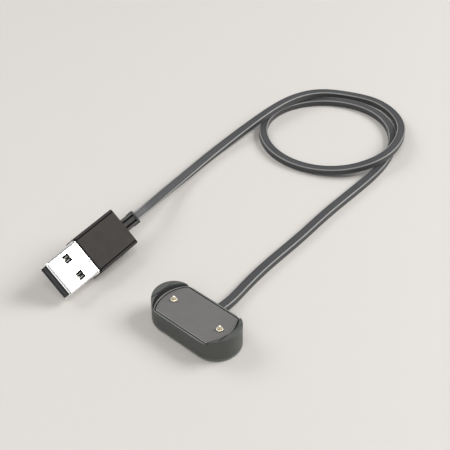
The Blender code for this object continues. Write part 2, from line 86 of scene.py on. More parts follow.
# ---- Cable, the same route as the CAD model's ----
CABLE_ROUTE = (
    (0.0000, 0.0085, 0.0019), (-0.0001, 0.0115, 0.0017), (-0.0006, 0.0160, 0.0014),
    (-0.0019, 0.0230, 0.0012), (-0.0032, 0.0320, 0.0012), (-0.0041, 0.0420, 0.0012),
    (-0.0050, 0.0535, 0.0012), (-0.0065, 0.0675, 0.0012), (-0.0075, 0.0825, 0.0012),
    (-0.0085, 0.0955, 0.0012), (-0.0105, 0.1060, 0.0012), (-0.0145, 0.1155, 0.0012),
    (-0.0210, 0.1235, 0.0012), (-0.0300, 0.1280, 0.0012), (-0.0395, 0.1280, 0.0012),
    (-0.0485, 0.1240, 0.0012), (-0.0555, 0.1165, 0.0012), (-0.0590, 0.1070, 0.0012),
    (-0.0580, 0.0970, 0.0012), (-0.0525, 0.0890, 0.0012), (-0.0445, 0.0840, 0.0012),
    (-0.0350, 0.0825, 0.0012), (-0.0250, 0.0850, 0.0014), (-0.0160, 0.0910, 0.0026),
    (-0.0110, 0.0995, 0.0038), (-0.0105, 0.1090, 0.0040), (-0.0135, 0.1185, 0.0036),
    (-0.0190, 0.1265, 0.0024), (-0.0270, 0.1325, 0.0014), (-0.0365, 0.1345, 0.0012),
    (-0.0460, 0.1310, 0.0016), (-0.0530, 0.1240, 0.0030), (-0.0570, 0.1150, 0.0039),
    (-0.0585, 0.1050, 0.0040), (-0.0585, 0.0950, 0.0037), (-0.0585, 0.0850, 0.0028),
    (-0.0582, 0.0746, 0.0019), (-0.0572, 0.0646, 0.00165), (-0.0557, 0.0552, 0.0018),
    (-0.0537, 0.0462, 0.0026), (-0.0514, 0.0383, 0.0040), (-0.0486, 0.0295, 0.0057),
    (-0.0467, 0.0230, 0.0067), (-0.0461, 0.0189, 0.0067),
)
CABLE_RINGS = 420
CABLE_WIDTH = 0.0030
CABLE_HEIGHT = 0.00225
CABLE_CORNER = 0.00028
CABLE_RIB = 0.00044           # from each edge of the broad faces to the groove beside it
CABLE_GROOVE = 0.00016        # width of that groove
CABLE_GROOVE_DEPTH = 0.00014
CABLE_FACE_DEPTH = 0.00005    # how far the broad faces lie below the ribs
CABLE_TWIST_START = 0.80      # share of the length where the twist towards the plug begins
CABLE_TWIST_END = 0.985
CABLE_SOCKET = 0.0008         # how deep the cable goes into the gland and the strain relief

# ---- Plug: the CAD model's sizes, except where a comment says otherwise ----
PLUG_TIP = (-0.0405, -0.0188)
PLUG_ROLL = math.radians(40.0)
PLUG_TURN = math.radians(8.4)
FLOOR_CLEARANCE = 0.00005
SHELL_WIDTH = 0.0120
SHELL_HEIGHT = 0.0045
SHELL_WALL = 0.0003
SHELL_CORNER = 0.0007
SHELL_LENGTH = 0.0172
FLANGE_WIDTH = 0.0128
FLANGE_HEIGHT = 0.0053
FLANGE_LENGTH = 0.0004
WINDOW_SIZE = 0.0028          # 0.3 mm more than the CAD model's
WINDOW_X = 0.0032
WINDOW_Y = 0.00705
RIB_X = 0.00058               # ribs behind a window, from its middle; not in the CAD model
RIB_HALF_WIDTH = 0.00010
RIB_HALF_LENGTH = 0.0017
RIB_DEPTH = (0.0003, 0.0006)  # below the inside of the shell's wall
GRIP_WIDTH = 0.0135
GRIP_THICKNESS = 0.0067
GRIP_START = 0.0132
GRIP_END = 0.0308
GRIP_RADIUS = 0.0006
GROOVE_X = 0.00578
GROOVE_WIDTH = 0.00042
GROOVE_DEPTH = 0.00035
RELIEF_WIDTH = 0.0042
RELIEF_HEIGHT = 0.0033
RELIEF_START = 0.0268
RELIEF_END = 0.0378


# ---- Colours and node helpers ----
def seen(red, green, blue):
    """A colour as it is seen on a screen, from 0 to 255, turned into linear light."""
    values = []
    for value in (red, green, blue):
        share = value / 255
        values.append(share / 12.92 if share <= 0.04045 else ((share + 0.055) / 1.055) ** 2.4)
    return (*values, 1.0)


def scaled(colour, factor):
    return (*(min(1.0, value * factor) for value in colour[:3]), 1.0)


class Surface:
    """A Principled material and the few node patterns that the materials here share."""

    def __init__(self, name, metallic=0.0, specular=0.5):
        self.material = bpy.data.materials.new(name)
        self.material.use_nodes = True
        self.nodes = self.material.node_tree.nodes
        self.links = self.material.node_tree.links
        self.shader = self.nodes["Principled BSDF"]
        self.shader.inputs["Metallic"].default_value = metallic
        self.shader.inputs["Specular IOR Level"].default_value = specular
        self.place = self.nodes.new("ShaderNodeTexCoord").outputs["Object"]

    def stretched(self, scale, source=None):
        mapping = self.nodes.new("ShaderNodeMapping")
        mapping.inputs["Scale"].default_value = scale
        self.links.new(source or self.place, mapping.inputs["Vector"])
        return mapping.outputs["Vector"]

    def attribute(self, name):
        node = self.nodes.new("ShaderNodeAttribute")
        node.attribute_name = name
        return node.outputs["Vector"]

    def coordinate(self, axis):
        separate = self.nodes.new("ShaderNodeSeparateXYZ")
        self.links.new(self.place, separate.inputs[0])
        return separate.outputs[axis]

    def noise(self, scale, detail=3.0, source=None):
        node = self.nodes.new("ShaderNodeTexNoise")
        node.inputs["Scale"].default_value = scale
        node.inputs["Detail"].default_value = detail
        self.links.new(source or self.place, node.inputs["Vector"])
        return node.outputs["Fac"]

    def cells(self, scale, source=None):
        node = self.nodes.new("ShaderNodeTexVoronoi")
        node.inputs["Scale"].default_value = scale
        self.links.new(source or self.place, node.inputs["Vector"])
        return node.outputs["Distance"]

    def ranged(self, value, low, high, start=0.0, end=1.0):
        node = self.nodes.new("ShaderNodeMapRange")
        node.inputs["From Min"].default_value = start
        node.inputs["From Max"].default_value = end
        node.inputs["To Min"].default_value = low
        node.inputs["To Max"].default_value = high
        self.links.new(value, node.inputs["Value"])
        return node.outputs["Result"]

    def mixed(self, factor, first, second):
        node = self.nodes.new("ShaderNodeMix")
        node.data_type = "RGBA"
        for socket, value in ((node.inputs[6], first), (node.inputs[7], second)):
            if isinstance(value, bpy.types.NodeSocket):
                self.links.new(value, socket)
            else:
                socket.default_value = value
        self.links.new(factor, node.inputs[0])
        return node.outputs[2]

    def clouded(self, colour):
        """The colour, a little darker and a little paler in soft patches."""
        patches = self.ranged(self.noise(140, 4), 0, 1, 0.3, 0.7)
        return self.mixed(patches, scaled(colour, 0.95), scaled(colour, 1.05))

    def colour(self, value):
        self.links.new(value, self.shader.inputs["Base Color"])

    def roughness(self, value):
        self.links.new(value, self.shader.inputs["Roughness"])

    def worn(self, roughness):
        """Roughness that varies a little where the part has been handled."""
        patches = self.noise(420, 3)
        self.roughness(self.ranged(patches, roughness - 0.07, roughness + 0.07, 0.3, 0.7))

    def relief(self, *layers):
        """Bump layers, each given as (height, strength, distance)."""
        normal = None
        for height, strength, distance in layers:
            node = self.nodes.new("ShaderNodeBump")
            node.inputs["Strength"].default_value = strength
            node.inputs["Distance"].default_value = distance
            self.links.new(height, node.inputs["Height"])
            if normal is not None:
                self.links.new(normal, node.inputs["Normal"])
            normal = node.outputs["Normal"]
        self.links.new(normal, self.shader.inputs["Normal"])


# ---- Materials ----
def moulded_plastic(name, colour, roughness, texture=0.35, specular=0.4):
    """Spark-eroded plastic: cloudy colour, fine pits and a little handling polish."""
    surface = Surface(name, specular=specular)
    surface.colour(surface.clouded(colour))
    surface.worn(roughness)
    surface.relief((surface.noise(7000, 2), texture, 0.00004),
                   (surface.cells(3800), texture * 0.4, 0.00003))
    return surface.material


def foot_highlight_plastic(name, colour, foot, foot_top):
    """Moulded plastic with a painted highlight: its colour is paler along the foot of the part."""
    surface = Surface(name, specular=0.4)
    foot_highlight_share = surface.ranged(surface.coordinate("Z"), 0, 1, foot_top, 0.5 * foot_top)
    surface.colour(surface.mixed(foot_highlight_share, surface.clouded(colour), foot))
    surface.worn(0.52)
    surface.relief((surface.noise(7000, 2), 0.35, 0.00004))
    return surface.material


def wall_shade_plastic(name, near, far, reach):
    """The crescents' inner walls: painted shade, near black at -Y and paler towards +Y."""
    surface = Surface(name, specular=0.15)
    far_share = surface.ranged(surface.coordinate("Y"), 0, 1, -reach, reach)
    surface.colour(surface.mixed(far_share, near, far))
    surface.worn(0.67)
    surface.relief((surface.noise(7000, 2), 0.3, 0.00004))
    return surface.material


def cable_rubber(name, colour, roughness, specular=0.4):
    """Extruded jacket: faint lines drawn along the cable, and dust in patches."""
    surface = Surface(name, specular=specular)
    strand = surface.attribute("strand")
    cloud = surface.noise(90, 4)
    drawn = surface.noise(1.0, 3, surface.stretched((9.0, 60.0, 1.0), strand))
    tone = surface.mixed(surface.ranged(cloud, 0, 1, 0.3, 0.7),
                         scaled(colour, 0.90), scaled(colour, 1.08))
    surface.colour(surface.mixed(surface.ranged(drawn, 0, 0.25, 0.35, 0.65), tone,
                                 scaled(colour, 1.25)))
    surface.roughness(surface.ranged(drawn, roughness - 0.08, roughness + 0.08, 0.3, 0.7))
    surface.relief((drawn, 0.25, 0.00004), (surface.noise(6000, 2), 0.2, 0.00003))
    return surface.material


def plated_steel(name, colour, roughness, grain):
    """Bright plated steel with a drawn grain; grain is how the noise is stretched."""
    surface = Surface(name, metallic=1.0)
    lines = surface.noise(1.0, 3, surface.stretched(grain))
    smear = surface.noise(260, 3)
    surface.colour(surface.mixed(surface.ranged(smear, 0, 1, 0.3, 0.7),
                                 scaled(colour, 0.93), colour))
    surface.roughness(surface.ranged(lines, roughness - 0.06, roughness + 0.10, 0.25, 0.75))
    surface.relief((lines, 0.12, 0.00002))
    return surface.material


def plated_gold(name):
    surface = Surface(name, metallic=1.0)
    stain = surface.noise(1500, 3)
    surface.colour(surface.mixed(surface.ranged(stain, 0, 1, 0.35, 0.65),
                                 seen(236, 226, 200), seen(250, 244, 228)))
    surface.roughness(surface.ranged(surface.noise(5200, 2), 0.36, 0.44, 0.3, 0.7))
    surface.relief((surface.noise(9000, 2), 0.08, 0.00001))
    return surface.material


def laminate(name):
    """Glass-fibre board under green resist, with the weave just showing."""
    surface = Surface(name)
    weave = surface.cells(2600, surface.stretched((1, 1, 0.2)))
    traces = surface.noise(520, 1, surface.stretched((1, 3.5, 1)))
    base = surface.mixed(surface.ranged(traces, 0, 1, 0.52, 0.54),
                         seen(22, 84, 50), seen(42, 118, 70))
    surface.colour(base)
    surface.roughness(surface.ranged(weave, 0.30, 0.45, 0, 0.8))
    surface.relief((weave, 0.2, 0.00003))
    return surface.material


def insulating_plastic(name, colour):
    surface = Surface(name)
    flow = surface.noise(900, 4, surface.stretched((1, 0.3, 1)))
    surface.colour(surface.mixed(flow, scaled(colour, 0.8), scaled(colour, 1.25)))
    surface.roughness(surface.ranged(flow, 0.45, 0.65, 0.3, 0.7))
    surface.relief((surface.noise(8000, 2), 0.25, 0.00003))
    return surface.material


# ---- Outlines, each a list of (x, y) points running anticlockwise ----
def arc(centre, radius, start, end, steps):
    angles = [start + (end - start) * i / steps for i in range(steps + 1)]
    return [(centre[0] + radius * math.cos(a), centre[1] + radius * math.sin(a)) for a in angles]


def dock_outline(inset):
    radius = DOCK_WIDTH / 2 - inset
    offset = (DOCK_LENGTH - DOCK_WIDTH) / 2
    right = arc((offset, 0), radius, -math.pi / 2, math.pi / 2, 56)
    left = arc((-offset, 0), radius, math.pi / 2, 3 * math.pi / 2, 56)
    return right + left


def half_turned(points):
    """The points, and then the same points turned by half a turn about the origin."""
    return points + [(-x, -y) for x, y in points]


def four_fold(quarter):
    """A closed outline from its first quarter, which ends near the second axis."""
    return half_turned(quarter + [(-x, y) for x, y in reversed(quarter)])


def circle_outline(radius, steps=128):
    return arc((0, 0), radius, 0, 2 * math.pi, steps)[:-1]


def face_outline(inset, half_width):
    """An arc at each end, joined by straight sides, with the four corners rounded."""
    centre_x, radius = FACE_ARC[0], FACE_ARC[1] - inset
    reach = math.asin(half_width / radius)
    turn = FACE_CORNER / radius
    tip = centre_x + math.cos(reach) * radius
    steps = 6

    def rounded(end, sharp, start):
        points = []
        for i in range(1, steps):
            t = i / steps
            points.append(tuple((1 - t) ** 2 * a + 2 * t * (1 - t) * b + t * t * c
                                for a, b, c in zip(end, sharp, start)))
        return points

    right = arc((centre_x, 0), radius, -reach + turn, reach - turn, 48)
    side = [(tip - FACE_CORNER, half_width), (FACE_CORNER - tip, half_width)]
    left_start = (-right[0][0], -right[0][1])
    half = right + rounded(right[-1], (tip, half_width), side[0]) + side
    return half_turned(half + rounded(side[1], (-tip, half_width), left_start))


def recess_outline(inset):
    """The two arcs of the crescents' inner walls, carried on past the dock's long sides."""
    centre_x, radius = CRESCENT_ARC[0], CRESCENT_ARC[1] - inset
    reach = math.asin((DOCK_WIDTH / 2 + 0.0010) / radius)
    return half_turned(arc((centre_x, 0), radius, -reach, reach, 96))


def rounded_rectangle(width, height, radius, steps=6):
    outline = []
    for quarter, (sx, sy) in enumerate(((1, -1), (1, 1), (-1, 1), (-1, -1))):
        centre = (sx * (width / 2 - radius), sy * (height / 2 - radius))
        start = (quarter - 1) * math.pi / 2
        outline += arc(centre, radius, start, start + math.pi / 2, steps)
    return outline


def rounding(radius, steps=5):
    """(distance from the end, inset) pairs that round an outward edge, from the end inwards."""
    angles = [math.pi / 2 * i / steps for i in range(steps + 1)]
    return [(radius * (1 - math.sin(a)), radius * (1 - math.cos(a))) for a in reversed(angles)]


# ---- Solids ----
def skin(rings):
    """Quads between rings of the same number of points, and a face over each end."""
    bm = bmesh.new()
    loops = [[bm.verts.new(point) for point in ring] for ring in rings]
    for first, second in zip(loops, loops[1:]):
        count = len(first)
        for i in range(count):
            j = (i + 1) % count
            bm.faces.new((first[i], first[j], second[j], second[i]))
    bm.faces.new(loops[0])
    bm.faces.new(loops[-1])
    bmesh.ops.recalc_face_normals(bm, faces=bm.faces)
    return bm


def upright(outline, levels):
    """Outlines, each given as outline(inset) at a height z, stacked up."""
    return skin([[(x, y, z) for x, y in outline(inset)] for z, inset in levels])


def lengthwise(sections):
    """(y, width, height, corner) rounded rectangles across Y, joined one after the other."""
    rings = []
    for y, width, height, corner in sections:
        rings.append([(x, y, z) for x, z in rounded_rectangle(width, height, corner)])
    return skin(rings)


def rounded_block(width, height, corner, start, end, front_radius, rear_radius):
    """A rounded bar along Y whose two ends have rounded edges."""
    ends = [(start + depth, inset) for depth, inset in rounding(front_radius)]
    ends += [(end - depth, inset) for depth, inset in reversed(rounding(rear_radius))]
    sections = []
    for y, inset in ends:
        sections.append((y, width - 2 * inset, height - 2 * inset, max(corner - inset, 0.00006)))
    return lengthwise(sections)


def box_solid(low, high):
    bm = bmesh.new()
    bmesh.ops.create_cube(bm, size=1.0)
    size = [b - a for a, b in zip(low, high)]
    centre = [(a + b) / 2 for a, b in zip(low, high)]
    bmesh.ops.scale(bm, vec=size, verts=bm.verts)
    bmesh.ops.translate(bm, vec=centre, verts=bm.verts)
    return bm


def turned(profile, steps=48):
    """A profile of (radius, z) points turned about the Z axis; it starts and ends on it."""
    bm = bmesh.new()
    rings = []
    for radius, z in profile:
        if radius < 1e-9:
            rings.append([bm.verts.new((0, 0, z))])
        else:
            rings.append([bm.verts.new((x, y, z)) for x, y in circle_outline(radius, steps)])
    for first, second in zip(rings, rings[1:]):
        for i in range(steps):
            j = (i + 1) % steps
            corners = []
            for ring, index in ((first, i), (first, j), (second, j), (second, i)):
                vert = ring[index % len(ring)]
                if vert not in corners:
                    corners.append(vert)
            bm.faces.new(corners)
    bmesh.ops.recalc_face_normals(bm, faces=bm.faces)
    return bm


def moved(bm, offset):
    bmesh.ops.translate(bm, vec=offset, verts=bm.verts)
    return bm


def carve(bm, *tools, operation="DIFFERENCE"):
    """The solid with the tools cut out of it, or with them joined to it."""
    made = []
    for item in (bm, *tools):
        mesh = bpy.data.meshes.new("carving")
        item.to_mesh(mesh)
        item.free()
        obj = bpy.data.objects.new("carving", mesh)
        bpy.context.collection.objects.link(obj)
        made.append(obj)
    for tool in made[1:]:
        modifier = made[0].modifiers.new("carve", "BOOLEAN")
        modifier.operation = operation
        modifier.solver = "EXACT"
        modifier.object = tool
    bpy.context.view_layer.update()
    graph = bpy.context.evaluated_depsgraph_get()
    mesh = bpy.data.meshes.new_from_object(made[0].evaluated_get(graph))
    result = bmesh.new()
    result.from_mesh(mesh)
    bmesh.ops.remove_doubles(result, verts=result.verts, dist=2e-7)
    bmesh.ops.dissolve_degenerate(result, edges=result.edges, dist=1e-7)
    bpy.data.meshes.remove(mesh)
    for obj in made:
        bpy.data.objects.remove(obj, do_unlink=True)
    return result


# ---- Pieces ----
def add_piece(name, bm, materials, replaces, body=ROOT, place=None, pick=None):
    """Makes a piece, lets it ride on a body and stand for CAD nodes.

    pick(centre, normal) tells which of the materials a face takes.
    """
    bmesh.ops.recalc_face_normals(bm, faces=bm.faces)
    if pick is not None:
        bm.normal_update()
        for face in bm.faces:
            face.material_index = pick(face.calc_center_median(), face.normal)
    mesh = bpy.data.meshes.new(name)
    bm.to_mesh(mesh)
    bm.free()
    for material in materials:
        mesh.materials.append(material)
    mesh.shade_smooth()
    mesh.set_sharp_from_angle(angle=SMOOTH_ANGLE)
    piece = bpy.data.objects.new(name, mesh)
    bpy.context.collection.objects.link(piece)
    if place is not None:
        piece.matrix_world = place
    normals = piece.modifiers.new("even_shading", "WEIGHTED_NORMAL")
    normals.keep_sharp = True
    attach(piece, body)
    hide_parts(*replaces)
    return piece


# ---- Dock ----
def flared(top, steps=5):
    """(z, inset) pairs of a cutter that rounds the edge it cuts at this height."""
    angles = [math.pi / 2 * i / steps for i in range(steps + 1)]
    return [(top - EDGE_RADIUS * (1 - math.sin(a)), -EDGE_RADIUS * (1 - math.cos(a)))
            for a in angles]


def crest_height(x):
    """How far a crescent's top stands above the rim; below it past the crescent's tips."""
    share = (abs(x) - CREST_TIP_X) / (DOCK_LENGTH / 2 - CREST_TIP_X)
    return (TOP_Z - RIM_Z) * share ** 0.45 if share > 0 else -0.0002


def crescents(base_z):
    """The two crescents at the dock's ends, whose tops fall towards their tips."""
    top = [(TOP_Z - depth, inset) for depth, inset in reversed(rounding(EDGE_RADIUS))]
    crown = upright(dock_outline, [(base_z, 0)] + top)
    levels = [(base_z - 0.001, 0)] + flared(TOP_Z - 0.00002)
    levels += [(TOP_Z, -WALL_SHADE_BAND), (TOP_Z + 0.001, -WALL_SHADE_BAND)]
    crown = carve(crown, upright(recess_outline, levels))
    strips = 26
    for i in range(strips):
        x = CREST_TIP_X + (DOCK_LENGTH / 2 - CREST_TIP_X) * (i / strips) ** 2
        for sign in (-1, 1):
            bmesh.ops.bisect_plane(crown, geom=crown.verts[:] + crown.edges[:] + crown.faces[:],
                                   plane_co=(sign * x, 0, 0), plane_no=(1, 0, 0), dist=1e-7)
    for vert in crown.verts:
        if vert.co.z > RIM_Z:
            height = crest_height(vert.co.x)
            drop = (TOP_Z - vert.co.z) * min(max(height, 0.0) / (3 * EDGE_RADIUS), 1.0)
            vert.co.z = RIM_Z + height - drop
    return crown


def arc_distance(centre, arc_size):
    """How far a point lies outside one of the two arcs."""
    return math.hypot(abs(centre.x) - arc_size[0], centre.y) - arc_size[1]


def dock_material(centre, normal):
    """Index of the plastic, its edges with a painted highlight, the shadowed pocket or the crescents'
    walls.
    """
    outer = DOCK_WIDTH / 2 - math.hypot(max(abs(centre.x) - (DOCK_LENGTH - DOCK_WIDTH) / 2, 0),
                                        centre.y)
    pocket = max(arc_distance(centre, FACE_ARC), abs(centre.y) - FACE_HALF_WIDTH)
    wall = arc_distance(centre, CRESCENT_ARC)
    if centre.z < RIM_Z - 0.8 * EDGE_RADIUS:
        inside = pocket < 0.0001 and outer > 0.00025
        return 2 if inside and centre.z > DECK_UNDERSIDE_Z + 0.0001 else 0
    if centre.z > RIM_Z + 0.00005:
        # the crescents' walls and the band along their tops take the painted shade
        return 3 if abs(wall) < WALL_SHADE_BAND else 0
    # rounded edges that face upwards take the paler plastic as a painted highlight
    near_edge = outer < EDGE_RADIUS or abs(pocket) < 1.3 * EDGE_RADIUS
    return 1 if near_edge and 0.12 < normal.z < 0.985 else 0


def add_dock_shell(plastic, edge_highlight, shadowed, wall):
    rim = [(RIM_Z - depth, inset) for depth, inset in reversed(rounding(EDGE_RADIUS))]
    body = upright(dock_outline, rounding(FOOT_RADIUS, 8) + rim)
    shell = carve(body, crescents(RIM_Z - 0.0006), operation="UNION")

    pocket_floor = RIM_Z - FACE_THICKNESS - GAP
    levels = [(pocket_floor, 0)] + flared(RIM_Z, 4) + [(TOP_Z, -EDGE_RADIUS)]
    pocket = upright(lambda inset: face_outline(inset, FACE_HALF_WIDTH - inset), levels)
    hollow = upright(dock_outline, [(-0.001, WALL), (DECK_UNDERSIDE_Z - 0.0003, WALL),
                                    (DECK_UNDERSIDE_Z, WALL + 0.0003)])
    tools = [pocket, hollow]
    for sign in (-1, 1):
        hole = upright(lambda inset: circle_outline(PIN_HOLE, 48), [(0.003, 0), (TOP_Z, 0)])
        tools.append(moved(hole, (sign * PIN_X, 0, 0)))
    outlet = lengthwise([(DOCK_WIDTH / 2 - 1.2 * WALL, 0.0042, 0.0032, 0.0009),
                         (DOCK_WIDTH / 2 - 0.0002, 0.0042, 0.0032, 0.0009),
                         (DOCK_WIDTH / 2 + 0.0004, 0.0045, 0.0034, 0.0012)])
    tools.append(moved(outlet, (0, 0, CABLE_ROUTE[0][2])))
    add_piece("dock_shell_moulding", carve(shell, *tools), (plastic, edge_highlight, shadowed, wall),
              ["dock_housing"], pick=dock_material)


def plate_material(centre, normal):
    """Index of the plate's face, its edge with a painted highlight or its shadowed side."""
    if abs(normal.z) < 0.12:
        return 2
    return 1 if 0.12 < normal.z < 0.985 else 0


def add_face_plate(plastic, edge_highlight, shadowed):
    half_width = FACE_HALF_WIDTH - FACE_GAP
    levels = [(RIM_Z - FACE_THICKNESS, 0)]
    levels += [(RIM_Z - depth, inset) for depth, inset in reversed(rounding(EDGE_RADIUS))]
    plate = upright(lambda inset: face_outline(inset + FACE_GAP, half_width - inset), levels)
    tools = []
    for sign in (-1, 1):
        hole = upright(lambda inset: circle_outline(PIN_HOLE - inset, 48),
                       [(0.004, 0), (RIM_Z - 0.00008, 0), (RIM_Z + 0.00002, -0.0001),
                        (TOP_Z, -0.0001)])
        tools.append(moved(hole, (sign * PIN_X, 0, 0)))
    add_piece("charging_face_plate", carve(plate, *tools), (plastic, edge_highlight, shadowed),
              ["dock_face_plate"], pick=plate_material)


def add_base_cover(plastic, soft):
    """The underside: a cover with a soft pad let into it and two ejector-pin marks."""
    margin = WALL + GAP
    thickness = 0.0009
    bottom = [(depth, margin + inset) for depth, inset in rounding(0.00012, 3)]
    cover = upright(dock_outline, bottom + [(thickness, margin)])
    pad_depth = 0.00025
    seat = upright(dock_outline, [(-0.001, margin + 0.0016), (pad_depth, margin + 0.0016)])
    tools = [seat]
    for sign in (-1, 1):
        mark = upright(lambda inset: circle_outline(0.0007, 32), [(-0.001, 0), (0.00008, 0)])
        tools.append(moved(mark, (sign * 0.0121, 0.0024, 0)))
    add_piece("dock_base_plate", carve(cover, *tools), (plastic,),
              ["dock_base_cover"])
    levels = [(0.0001 + depth, margin + 0.0018 + inset) for depth, inset in rounding(0.0001, 3)]
    pad = upright(dock_outline, levels + [(pad_depth, margin + 0.0018)])
    add_piece("dock_base_pad", pad, (soft,), [])


def add_gland(rubber):
    width, height = GLAND_WIDTH, GLAND_HEIGHT
    sections = [(GLAND_INNER_Y, width - 0.0003, height - 0.0003, 0.0006), (0.0063, width, height, 0.0007)]
    for y in (0.00665, 0.00735):
        sections += [(y - 0.00018, width, height, 0.0007),
                     (y - 0.00010, width - 0.0004, height - 0.0004, 0.0006),
                     (y + 0.00010, width - 0.0004, height - 0.0004, 0.0006),
                     (y + 0.00018, width, height, 0.0007)]
    sections += [(0.0080, width, height, 0.0007), (0.00815, width - 0.0001, height - 0.0001, 0.0007),
                 (0.0082, width - 0.0003, height - 0.0003, 0.0006)]
    gland = lengthwise(sections)
    socket = lengthwise([(0.0082 - CABLE_SOCKET, CABLE_WIDTH + 0.0001, CABLE_HEIGHT + 0.0001, 0.0003),
                         (0.0090, CABLE_WIDTH + 0.0001, CABLE_HEIGHT + 0.0001, 0.0003)])
    add_piece("cable_gland_ribbed", moved(carve(gland, socket), (0, 0, CABLE_ROUTE[0][2])),
              (rubber,), ["dock_cable_gland"])


def add_pin(side, sign, gold, steel):
    """The collar stays in the deck, the plunger rides its own body, and the coil has a mesh of its own.
    """
    place = Matrix.Translation((sign * PIN_X, 0, 0))
    outer, mouth, bore = 0.00105, 0.00062, 0.00085
    top, lip, floor, bottom = 0.0069, 0.0065, 0.0026, 0.0023
    edge, mouth_edge = 0.00016, 0.0001
    collar = [(0, bottom), (outer - 0.00008, bottom), (outer, bottom + 0.00008),
              (outer, top - edge)]
    collar += arc((outer - edge, top - edge), edge, 0, math.pi / 2, 5)[1:]
    collar += arc((mouth + mouth_edge, top - mouth_edge), mouth_edge, math.pi / 2, math.pi, 4)
    collar += [(mouth, lip), (bore, lip), (bore, floor), (0, floor)]
    add_piece("pin_collar_" + side, turned(collar, 64), (gold,),
              ["pogo_barrel_" + side], place=place)

    shoulder, tip_radius, tip_top = 0.00072, 0.00048, 0.00805
    shoulder_top, shoulder_bottom = 0.00635, 0.00475
    dome = tip_top - tip_radius
    plunger = [(0, shoulder_bottom), (shoulder - 0.00008, shoulder_bottom),
               (shoulder, shoulder_bottom + 0.00008), (shoulder, shoulder_top - 0.00008),
               (shoulder - 0.00008, shoulder_top), (tip_radius, shoulder_top)]
    plunger += arc((0, dome), tip_radius, 0, math.pi / 2, 12)[:-1] + [(0, tip_top)]
    add_piece("pin_plunger_" + side, turned(plunger, 48), (gold,),
              ["pogo_plunger_" + side], body="plunger_" + side, place=place)

    wire, coil_radius, turns = 0.00008, 0.00058, 4.5
    low, high = floor + 0.00023, shoulder_bottom - 0.00023
    rings = []
    count = int(turns * 28)
    for i in range(count + 1):
        share = i / count
        angle = 2 * math.pi * turns * share
        # the last half turn at each end closes up, as on a wound spring
        climb = min(max((share * turns - 0.5) / (turns - 1.0), 0.0), 1.0)
        rise = low + (high - low - 4 * wire) * climb + 2 * wire * min(share * turns * 2, 1.0)
        rise += 2 * wire * min(max(share * turns - turns + 0.5, 0.0) * 2, 1.0)
        out = Vector((math.cos(angle), math.sin(angle), 0))
        centre = out * coil_radius + Vector((0, 0, rise))
        ring = []
        for k in range(10):
            turn = 2 * math.pi * k / 10
            ring.append(centre + out * wire * math.cos(turn) + Vector((0, 0, wire * math.sin(turn))))
        rings.append(ring)
    spring = add_piece("pin_spring_coil_" + side, skin(rings), (steel,),
                       ["pogo_spring_" + side], place=place)
    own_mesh(spring)


# ---- Cable ----
def smooth_curve(route, count):
    """Evenly spaced points on the natural cubic spline through the route's points."""
    points = np.array(route)
    steps = np.sqrt(np.linalg.norm(np.diff(points, axis=0), axis=1))
    knots = np.concatenate(([0.0], np.cumsum(steps)))
    system = np.eye(len(points))
    right = np.zeros_like(points)
    for i in range(1, len(points) - 1):
        before, after = steps[i - 1], steps[i]
        system[i, i - 1:i + 2] = before, 2 * (before + after), after
        right[i] = 6 * ((points[i + 1] - points[i]) / after - (points[i] - points[i - 1]) / before)
    bend = np.linalg.solve(system, right)

    def at(t):
        i = min(int(np.searchsorted(knots, t, side="right")) - 1, len(steps) - 1)
        h, a, b = steps[i], knots[i + 1] - t, t - knots[i]
        return ((bend[i] * a ** 3 + bend[i + 1] * b ** 3) / (6 * h)
                + (points[i] / h - bend[i] * h / 6) * a
                + (points[i + 1] / h - bend[i + 1] * h / 6) * b)

    fine = np.array([at(t) for t in np.linspace(0, knots[-1], 40 * len(points))])
    travel = np.concatenate(([0.0], np.cumsum(np.linalg.norm(np.diff(fine, axis=0), axis=1))))
    wanted = np.linspace(0, travel[-1], count)
    return np.column_stack([np.interp(wanted, travel, fine[:, k]) for k in range(3)])


def cable_section():
    """The flat cable's outline: a rib along each corner and a groove beside each rib."""
    half_width, half_height = CABLE_WIDTH / 2, CABLE_HEIGHT / 2
    centre = (half_width - CABLE_CORNER, half_height - CABLE_CORNER)
    quarter = arc(centre, CABLE_CORNER, 0, math.pi / 2, 6)
    rib_end = half_width - CABLE_RIB
    floor = half_height - CABLE_GROOVE_DEPTH
    face = half_height - CABLE_FACE_DEPTH
    quarter += [(rib_end, half_height), (rib_end - 0.00004, floor),
                (rib_end - CABLE_GROOVE + 0.00004, floor), (rib_end - CABLE_GROOVE, face),
                (0.0003, face + 0.00002)]
    return four_fold(quarter)


def plug_matrix():
    lean = math.sin(PLUG_ROLL) * (GRIP_WIDTH / 2 - GRIP_RADIUS)
    rise = math.cos(PLUG_ROLL) * (GRIP_THICKNESS / 2 - GRIP_RADIUS)
    height = lean + rise + GRIP_RADIUS + FLOOR_CLEARANCE
    turn = Matrix.Rotation(PLUG_TURN, 4, "Z") @ Matrix.Rotation(PLUG_ROLL, 4, "Y")
    return Matrix.Translation((*PLUG_TIP, height)) @ turn


def eased(share):
    """A straight ramp from 0 to 1 whose two ends are rounded off."""
    ends = 0.12
    slope = 1 / (1 - ends)
    if share < ends:
        return slope * share * share / (2 * ends)
    if share > 1 - ends:
        return 1 - slope * (1 - share) ** 2 / (2 * ends)
    return slope * (share - ends / 2)


def cable_frames(line):
    """(centre, across, up) at each ring: flat on the floor, then rolled to meet the plug."""
    frames = []
    last = len(line) - 1
    for i, centre in enumerate(line):
        along = Vector(line[min(i + 1, last)] - line[max(i - 1, 0)]).normalized()
        across = along.cross(Vector((0, 0, 1))).normalized()
        share = (i / last - CABLE_TWIST_START) / (CABLE_TWIST_END - CABLE_TWIST_START)
        share = min(max(share, 0.0), 1.0)
        # the cable runs towards -Y here, so the plug's lean is a turn the other way
        roll = -PLUG_ROLL * eased(share)
        across = (Matrix.Rotation(roll, 3, along) @ across).normalized()
        frames.append((Vector(centre), across, across.cross(along)))
    return frames


